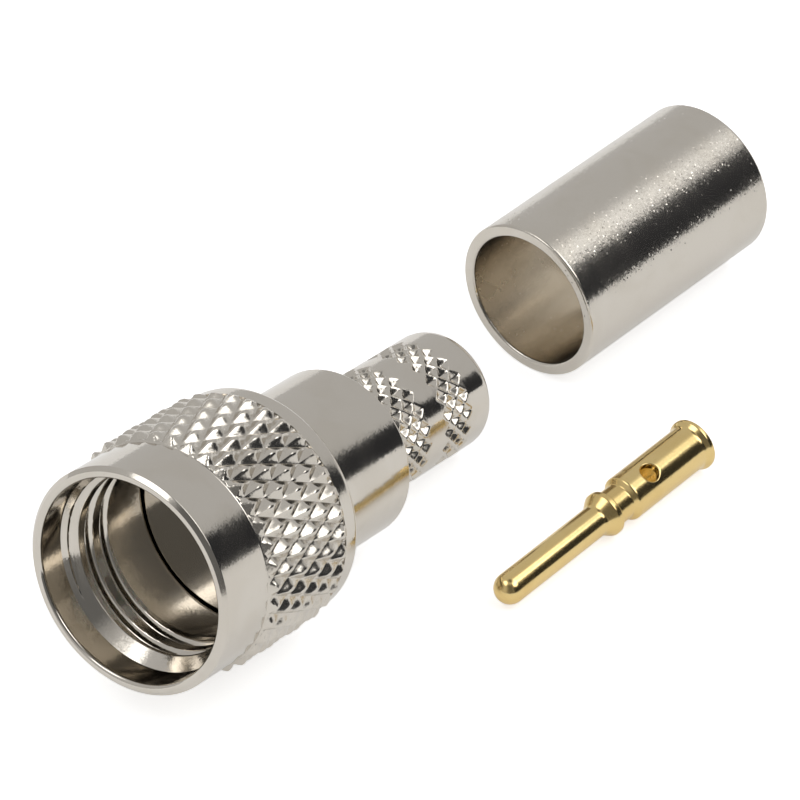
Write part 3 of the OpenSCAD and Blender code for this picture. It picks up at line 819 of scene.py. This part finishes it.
# %% Two finishes on the contact
drilled = np.hypot(contact_local[:, 0], contact_local[:, 1]) < wire_r + END_GAP
drilled &= contact_local[:, 2] > contact_end - cup_depth - END_GAP
lip_end = contact_points.size // 3 + (len(outer_rings) + len(lip_rings) - 1) * len(outer_edge)
drilled[lip_end:] = True
two_finishes(contact_piece, contact_faces, hard_gold, drilled_gold_and_painted_light, drilled)

# %% [markdown]
# ## The white insulator
#
# The bead inside the plug is a waxy white fluoropolymer. It shows only when one looks down the stem. Light
# goes a little way into it, which a small subsurface weight gives, and turning leaves it slightly uneven.

# %% Fluoropolymer and the kept nodes
WAXY, WAXY_DULL = (0.86, 0.86, 0.84), (0.80, 0.80, 0.77)


def waxy_white():
    """Waxy white plastic with faint cloudiness and tool marks."""
    material = bpy.data.materials.new("waxy_white")
    material.use_nodes = True
    tree = material.node_tree
    shader = tree.nodes["Principled BSDF"]
    shader.inputs["Subsurface Weight"].default_value = 0.15
    shader.inputs["Subsurface Scale"].default_value = 0.0006
    cloud = use_group(tree, handling, Smudges_per_mm=0.8).outputs["Smudge"]
    grain = use_group(tree, crystals, Crystals_per_mm=9.0, Tilt=0.05)
    tree.links.new(mix_colours(tree, cloud, WAXY, WAXY_DULL), shader.inputs["Base Color"])
    tree.links.new(ramp(tree, cloud, 0.0, 1.0, 0.38, 0.52), shader.inputs["Roughness"])
    tree.links.new(grain.outputs["Normal"], shader.inputs["Normal"])
    return material


def refinish(node, material):
    """Gives a CAD node that stays as it is one material."""
    mesh = frame["nodes"][node].data
    mesh.materials.clear()
    mesh.materials.append(material)
    print(node, "finished in", material.name)


refinish("insulator", waxy_white())
refinish("retaining_ring", ring_bronze)

# %% [markdown]
# ## Table and studio
#
# Bright metal has no look of its own: it shows the room. The room here is a white table, a grey front wall,
# a dim room behind the camera and a dark ceiling. A dark card at the right draws the black band along every
# cylinder. Soft lamps hang high at both sides; the right one reaches further down where it is further back,
# and it is what lights up one flank of each tip of the knurl. Lamps and cards could be planes, but they
# would stand in the way of other views. They are painted on the world instead: a direction becomes an
# azimuth from the camera's forward and an elevation, and every card is a soft-edged window in these two
# angles. Camera rays see plain white.

# %% Camera angles
VIEW_TURN = math.radians(54.238)
VIEW_DIP = math.radians(38.127)
VIEW_DISTANCE = 0.2441
LENS, SENSOR = 230.57, 36.0
LOOK_BACK, LOOK_ASIDE = 24.672, 3.141
ahead_flat = np.array([math.sin(VIEW_TURN), math.cos(VIEW_TURN), 0.0])
right_flat = np.array([math.cos(VIEW_TURN), -math.sin(VIEW_TURN), 0.0])
view_forward = ahead_flat * math.cos(VIEW_DIP) - UP * math.sin(VIEW_DIP)
look_at = nut_place["front"] + np.array([LOOK_BACK, LOOK_ASIDE, 0.0]) * MM
look_at[2] = 0.0
print("view forward", view_forward.round(3))

# %% Cards and lamps
FRONT_GREY = (0.585, 0.585, 0.585)
# Colour, then azimuth and elevation in degrees, each as from, to and the half width of its soft edges
ROOM_BEHIND = ((0.16, 0.16, 0.16), (148, 200, 12), (-20, 64, 10))
CARDS = {
    "left wall": ((0.55, 0.55, 0.55), (-160, -60, 14), (-20, 38, 9)),
    "ceiling": ((0.14, 0.14, 0.14), (-200, 200, 2), (77, 100, 4)),
    "right glow": ((1.3, 1.3, 1.3), (50, 134, 24), (44, 74, 4)),
    "dark card": ((0.031, 0.032, 0.035), (67.5, 150, 1.5), (-4, 38, 3)),
    "left lamp": ((2.6, 2.6, 2.6), (-138, -80, 5), (50, 68, 4)),
    "right lamp, top": ((2.6, 2.6, 2.6), (52, 140, 8), (56, 68, 3)),
    "right lamp, middle": ((3.2, 3.2, 3.2), (78, 140, 5), (44, 60, 3)),
    "right lamp, foot": ((2.4, 2.4, 2.4), (98, 128, 4), (36, 46, 3)),
}
print("painted on the world:", ", ".join(CARDS))

# %% World with its painted room


def window(tree, value, low, high, soft):
    """1 between low and high, 0 outside, with smooth edges of the given half width."""
    rise = ramp(tree, value, low - soft, low + soft, smooth=True)
    fall = ramp(tree, value, high - soft, high + soft, 1.0, 0.0, smooth=True)
    return calculate(tree, "MULTIPLY", rise, fall)


def studio_world():
    """World in the front grey, with each card mixed over it in its window. The room behind lies on both
    sides of the azimuth's seam, so its window is taken in the absolute azimuth."""
    world = bpy.data.worlds.new("studio")
    bpy.context.scene.world = world
    world.use_nodes = True
    tree = world.node_tree
    direction = add_node(tree, "ShaderNodeTexCoord").outputs["Generated"]
    sideways = add_node(tree, "ShaderNodeVectorMath", {0: direction, 1: right_flat}, operation="DOT_PRODUCT")
    onward = add_node(tree, "ShaderNodeVectorMath", {0: direction, 1: ahead_flat}, operation="DOT_PRODUCT")
    height = add_node(tree, "ShaderNodeSeparateXYZ", {"Vector": direction}).outputs["Z"]
    turn = calculate(tree, "ARCTAN2", sideways.outputs["Value"], onward.outputs["Value"])
    azimuth = calculate(tree, "DEGREES", turn)
    elevation = calculate(tree, "DEGREES", calculate(tree, "ARCSINE", height))
    colour = FRONT_GREY
    cards = [(calculate(tree, "ABSOLUTE", azimuth), ROOM_BEHIND)]
    cards += [(azimuth, card) for card in CARDS.values()]
    for angle, (card_colour, across, upward) in cards:
        sideways_mask = window(tree, angle, *across)
        mask = calculate(tree, "MULTIPLY", sideways_mask, window(tree, elevation, *upward))
        colour = mix_colours(tree, mask, colour, card_colour)
    seen = add_node(tree, "ShaderNodeLightPath").outputs["Is Camera Ray"]
    tree.links.new(mix_colours(tree, seen, colour, (1, 1, 1)), tree.nodes["Background"].inputs["Color"])
    print("world with", len(cards), "cards and lamps")


studio_world()

# %% Table
TABLE_HALF = 3.0
TABLE_WHITE = 0.8
TABLE_GLOW, MIRRORED_SHARE = 0.66, 0.42


def table_material():
    """White table: it takes the soft shadow of the pieces, and a glow for camera, mirror and clear rays
    brings it up to the white of the background."""
    material = bpy.data.materials.new("table_white")
    material.use_nodes = True
    tree = material.node_tree
    tree.nodes.remove(tree.nodes["Principled BSDF"])
    cloth = add_node(tree, "ShaderNodeBsdfDiffuse", {"Color": (TABLE_WHITE,) * 3 + (1,)})
    path = add_node(tree, "ShaderNodeLightPath").outputs
    mirrored = calculate(tree, "MAXIMUM", path["Is Glossy Ray"], path["Is Transmission Ray"])
    mirrored = calculate(tree, "MULTIPLY", mirrored, MIRRORED_SHARE)
    seen = calculate(tree, "MAXIMUM", path["Is Camera Ray"], mirrored)
    glow = add_node(tree, "ShaderNodeEmission", {"Strength": calculate(tree, "MULTIPLY", seen, TABLE_GLOW)})
    both = add_node(tree, "ShaderNodeAddShader", {0: cloth.outputs["BSDF"], 1: glow.outputs["Emission"]})
    tree.links.new(both.outputs["Shader"], tree.nodes["Material Output"].inputs["Surface"])
    return material


sweep = np.linspace(-TABLE_HALF, TABLE_HALF, 3)
table_x, table_y = np.meshgrid(sweep, sweep)
table_mesh = bpy.data.meshes.new("table")
table_ids = np.arange(sweep.size ** 2).reshape(sweep.size, sweep.size)
table_mesh.from_pydata(
    np.stack([table_x, table_y, 0 * table_x], -1).reshape(-1, 3).tolist(), [], grid_faces(table_ids).tolist())
table_mesh.materials.append(table_material())
table = bpy.data.objects.new("table", table_mesh)
bpy.context.scene.collection.objects.link(table)
print("table", 2 * TABLE_HALF, "m wide")

# %% [markdown]
# ## The camera
#
# A long lens from some distance, looking down at the pieces. Its turn, dip and distance were worked out from
# the outlines of the three pieces, so the image lines up with the reference without any shift.

# %% Camera
camera = bpy.data.objects.new("camera", bpy.data.cameras.new("camera"))
camera.data.lens = LENS
camera.data.sensor_width = SENSOR
camera.data.clip_start = 0.01
camera.location = look_at - view_forward * VIEW_DISTANCE
camera.rotation_euler = (math.pi / 2 - VIEW_DIP, 0.0, -VIEW_TURN)
bpy.context.scene.collection.objects.link(camera)
bpy.context.scene.camera = camera
bpy.context.scene.view_settings.view_transform = "Standard"
print("camera at", np.array(camera.location).round(4))
